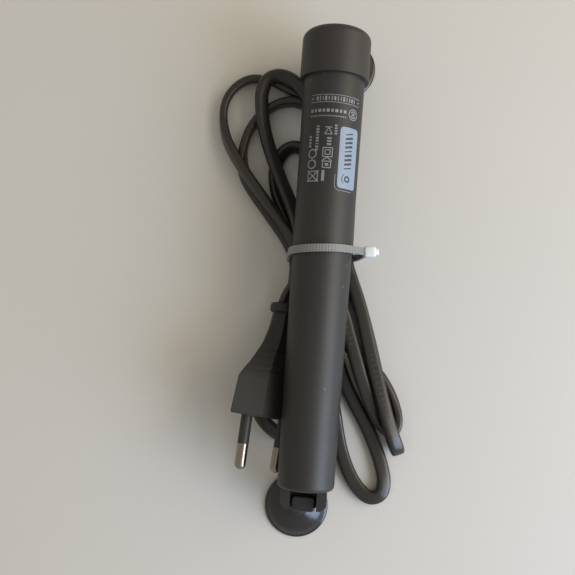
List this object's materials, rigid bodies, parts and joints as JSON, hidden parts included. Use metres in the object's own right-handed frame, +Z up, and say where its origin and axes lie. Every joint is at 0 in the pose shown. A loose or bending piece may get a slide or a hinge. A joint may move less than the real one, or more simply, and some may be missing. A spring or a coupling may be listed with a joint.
{
  "type": "aquarium heater",
  "caption": "Preset submersible tube heater on two slide-in suction cups, with a tied hank of flat mains lead and a two-pin plug.",
  "frame": {"origin": "on the resting surface, below the middle of the heater's length and of its two suction cups", "axes": "+Y along the tube towards the cap, +Z up from the resting surface"},
  "size_m": [0.0812, 0.1912, 0.0344],
  "materials": {
    "moulded_black": "fine satin moulded plastic",
    "black_rubber": "soft matte",
    "cup_rubber": "smooth, slightly glossy",
    "ceramic": "unglazed steatite ceramic",
    "nickel_chrome": "drawn resistance wire",
    "silicone": "milky silicone",
    "mica": "pressed mica",
    "tinned_steel": "tinned",
    "bimetal": "rolled strip",
    "silver_contact": "contact silver",
    "brass_sheet": "rolled",
    "ferrite": "sintered",
    "brown_lead": "insulation",
    "blue_lead": "insulation",
    "pale_label": "printed vinyl sticker",
    "cord_pvc": "satin extruded sheath",
    "plug_plastic": "satin moulded plastic",
    "nickel_plate": "nickel-plated brass",
    "sleeve_plastic": "insulating sleeve",
    "nylon": "translucent natural nylon"
  },
  "bodies": {
    "heater": {"heater_tube": "moulded_black", "head_cap": "moulded_black", "cable_gland": "black_rubber", "seal_bung": "black_rubber", "seal_ring": "black_rubber", "ceramic_core": "ceramic", "heating_wire": "nickel_chrome", "core_foot": "silicone", "element_sleeve": "mica", "spacer_disc": "silicone", "thermostat_board": "mica", "bimetal_post": "tinned_steel", "fixed_contact": "silver_contact", "contact_bracket": "brass_sheet", "snap_magnet": "ferrite", "thermal_fuse": "tinned_steel", "live_lead": "brown_lead", "neutral_lead": "blue_lead", "live_crimp": "tinned_steel", "neutral_crimp": "tinned_steel", "return_wire": "blue_lead", "preset_label": "pale_label", "cord_start": "cord_pvc", "cord_hank": "cord_pvc", "cord_end": "cord_pvc", "plug_body": "plug_plastic", "plug_pins": "nickel_plate", "pin_sleeves": "sleeve_plastic", "tie_strap": "nylon", "tie_head": "nylon"},
    "lower_cup": {"lower_suction_cup": "cup_rubber"},
    "upper_cup": {"upper_suction_cup": "cup_rubber"},
    "bimetal": {"bimetal_strip": "bimetal", "moving_contact": "silver_contact"},
    "trim_screw": {"trim_screw": "tinned_steel"}
  },
  "joints": [
    {"name": "lower_cup_slide", "type": "slide", "parent": "heater", "child": "lower_cup", "axis": [0, -1, 0], "range_m": [0, 0.009]},
    {"name": "upper_cup_slide", "type": "slide", "parent": "heater", "child": "upper_cup", "axis": [0, 1, 0], "range_m": [0, 0.009]},
    {"name": "bimetal_flex", "type": "hinge", "parent": "heater", "child": "bimetal", "pos_m": [0, 0.02161, 0.02245], "axis": [-1, 0, 0], "range_deg": [-1.5, 2], "stiffness_Nm_per_rad": 0.02},
    {"name": "trim_screw_turn", "type": "hinge", "parent": "heater", "child": "trim_screw", "pos_m": [0, 0.0146, 0.0255], "axis": [0, 0, 1], "range_deg": [-180, 180]}
  ]
}
